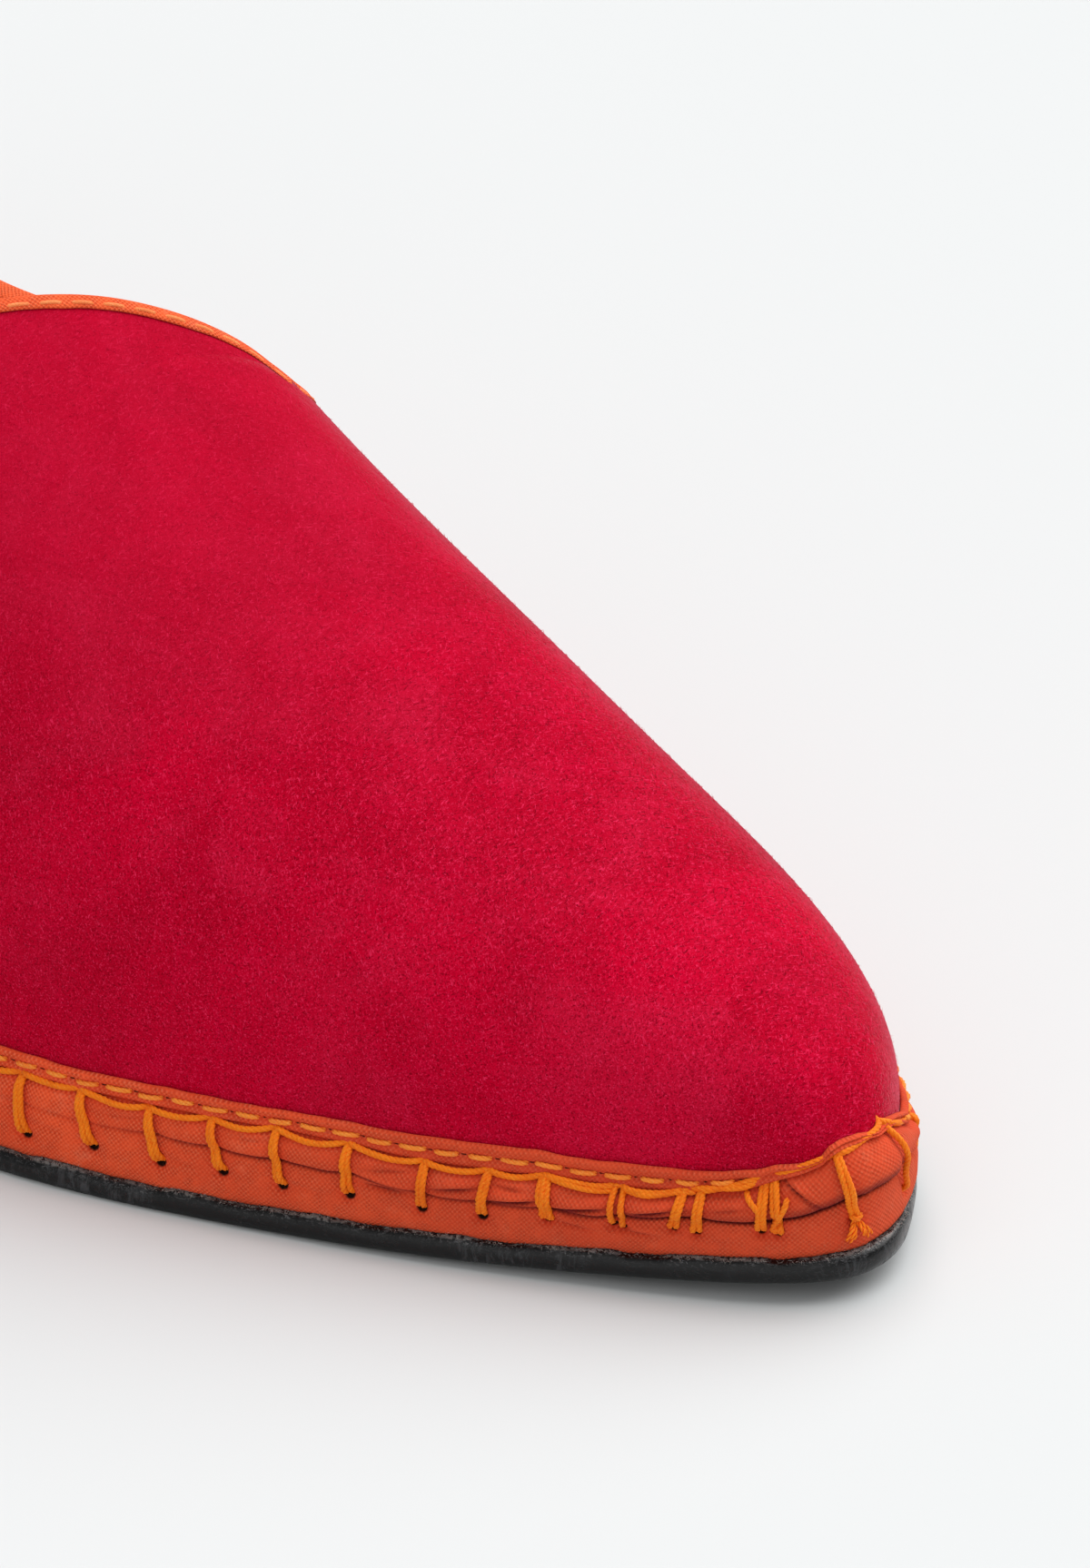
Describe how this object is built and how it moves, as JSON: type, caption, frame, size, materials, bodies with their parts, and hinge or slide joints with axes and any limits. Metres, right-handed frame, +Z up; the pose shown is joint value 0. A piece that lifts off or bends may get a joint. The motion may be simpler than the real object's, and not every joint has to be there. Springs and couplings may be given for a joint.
{
  "type": "ballet flat",
  "caption": "Flat slip-on shoe with a pointed round toe: a suede upper open at the foot, sewn by hand with thick thread to a cloth-covered sole on a thin rubber outsole.",
  "frame": {"origin": "on the floor, under the middle of the outsole's bounding box", "axes": "+X from heel to toe, +Y towards the inner (medial) side of the foot, +Z up"},
  "size_m": [0.2529, 0.081, 0.0685],
  "materials": {
    "rubber": "worn black rubber, low gloss",
    "sole_cloth": "plain-weave cotton, orange",
    "suede": "short-napped suede, crimson",
    "lining": "plain-weave cotton, orange",
    "binding": "folded cotton tape, orange",
    "thread": "twisted cotton thread, marigold"
  },
  "bodies": {
    "root": {"outsole": "rubber", "midsole": "sole_cloth", "rand": "sole_cloth", "upper": "suede", "insole": "lining", "collar_binding": "binding"}
  },
  "joints": []
}
